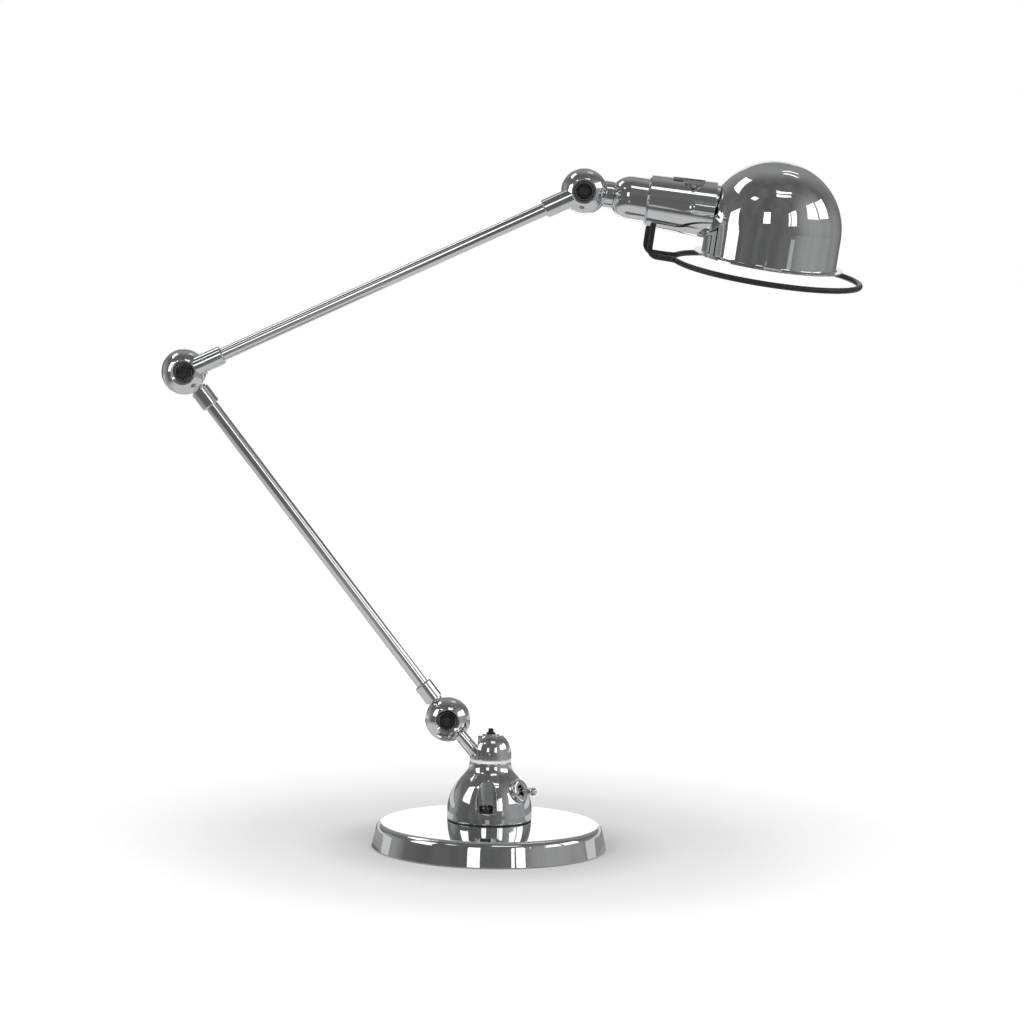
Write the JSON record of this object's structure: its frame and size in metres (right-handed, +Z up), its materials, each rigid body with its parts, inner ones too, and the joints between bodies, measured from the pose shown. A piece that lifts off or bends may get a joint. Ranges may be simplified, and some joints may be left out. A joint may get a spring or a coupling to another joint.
{
  "type": "swing arm desk lamp",
  "caption": "Chromed desk lamp with a round weighted base, a swivel turret, tubular arms on ball joints and a domed shade with a black wire handle ring.",
  "frame": {"origin": "on the table at the centre of the base's felt", "axes": "+Z up; the arms lie in planes parallel to XZ, the upper arm leans towards +X, and -Y is the front"},
  "size_m": [0.479, 0.1658, 0.4764],
  "materials": {
    "chrome_plate": "polished chrome plate with fine smudges and hairlines",
    "black_steel": "black satin coating, a little worn on the edges",
    "black_disc": "matt black washer at the bottom of the joint's recess",
    "zinc_steel": "plain zinc-plated steel",
    "bright_plate": "bright blank plate with a light brushed grain",
    "contact_brass": "dull contact brass",
    "insulator": "dark moulded insulating sheet",
    "nylon_washer": "white nylon sliding washer",
    "lead_sheath": "plain black sheath inside the tubes",
    "ballast_iron": "raw grey casting",
    "base_felt": "dark pressed felt",
    "grommet_rubber": "soft black rubber",
    "holder_porcelain": "white glazed insulator",
    "bulb_glass": "clear bulb glass"
  },
  "bodies": {
    "base": {"base_cover": "chrome_plate", "ballast_weight": "ballast_iron", "base_felt": "base_felt", "cord_grommet": "grommet_rubber", "pedestal_gasket": "grommet_rubber", "pedestal": "chrome_plate", "pedestal_screws": "black_steel", "switch_ring_nut": "chrome_plate", "switch_bush": "chrome_plate", "switch_body": "insulator", "swivel_washer": "nylon_washer"},
    "switch_lever": {"switch_lever": "chrome_plate"},
    "turret": {"turret": "chrome_plate", "turret_washer": "chrome_plate", "turret_stud": "black_steel", "swivel_spindle": "zinc_steel", "swivel_spring_washer": "zinc_steel", "swivel_nut": "zinc_steel", "stem_tube": "chrome_plate", "shoulder_front_shell": "chrome_plate", "shoulder_pivot_bolt": "black_steel", "shoulder_nut": "black_steel", "shoulder_recess_disc": "black_disc", "shoulder_contact_plate": "insulator", "shoulder_slip_ring": "contact_brass"},
    "lower_arm": {"shoulder_rear_shell": "chrome_plate", "elbow_rear_shell": "chrome_plate", "lower_arm_tube": "chrome_plate", "lower_arm_ferrules": "chrome_plate", "lower_arm_lead": "lead_sheath", "lower_arm_brushes": "contact_brass"},
    "upper_arm": {"elbow_front_shell": "chrome_plate", "head_front_shell": "chrome_plate", "upper_arm_tube": "chrome_plate", "upper_arm_ferrules": "chrome_plate", "upper_arm_lead": "lead_sheath", "upper_arm_pivot_bolts": "black_steel", "elbow_nut": "black_steel", "head_nut": "black_steel", "upper_arm_recess_discs": "black_disc", "upper_arm_contact_plates": "insulator", "upper_arm_slip_rings": "contact_brass"},
    "head_mount": {"head_rear_shell": "chrome_plate", "head_neck": "chrome_plate", "roll_nut": "zinc_steel", "head_brush": "contact_brass"},
    "head": {"holder_cup": "chrome_plate", "bead_ring": "chrome_plate", "holder_sleeve": "chrome_plate", "shield_plate": "bright_plate", "plate_rivet": "bright_plate", "lampholder_body": "holder_porcelain", "lampholder_shell": "contact_brass", "lampholder_contact": "contact_brass", "holder_screws": "zinc_steel", "bulb_cap": "contact_brass", "bulb_glass": "bulb_glass", "shade": "chrome_plate", "shade_collar": "chrome_plate", "wire_guard": "black_steel"}
  },
  "joints": [
    {"name": "lever_throw", "type": "hinge", "parent": "base", "child": "switch_lever", "pos_m": [0.01961, -0.01478, 0.04206], "axis": [-0.6018, -0.7986, 0], "range_deg": [0, 28]},
    {"name": "turret_swivel", "type": "hinge", "parent": "base", "child": "turret", "pos_m": [0, 0, 0], "axis": [0, 0, 1], "range_deg": [-160, 160]},
    {"name": "shoulder", "type": "hinge", "parent": "turret", "child": "lower_arm", "pos_m": [-0.03006, 0.0053, 0.08805], "axis": [0, -1, 0], "range_deg": [-55, 30]},
    {"name": "elbow", "type": "hinge", "parent": "lower_arm", "child": "upper_arm", "pos_m": [-0.21476, 0.0053, 0.32446], "axis": [0, 1, 0], "range_deg": [-92, 45]},
    {"name": "head_tilt", "type": "hinge", "parent": "upper_arm", "child": "head_mount", "pos_m": [0.05624, 0.0053, 0.45314], "axis": [0, -1, 0], "range_deg": [-90, 90]},
    {"name": "head_roll", "type": "hinge", "parent": "head_mount", "child": "head", "pos_m": [0.05624, 0.01485, 0.45314], "axis": [0.9917, 0, -0.1288], "range_deg": [-90, 90]}
  ]
}
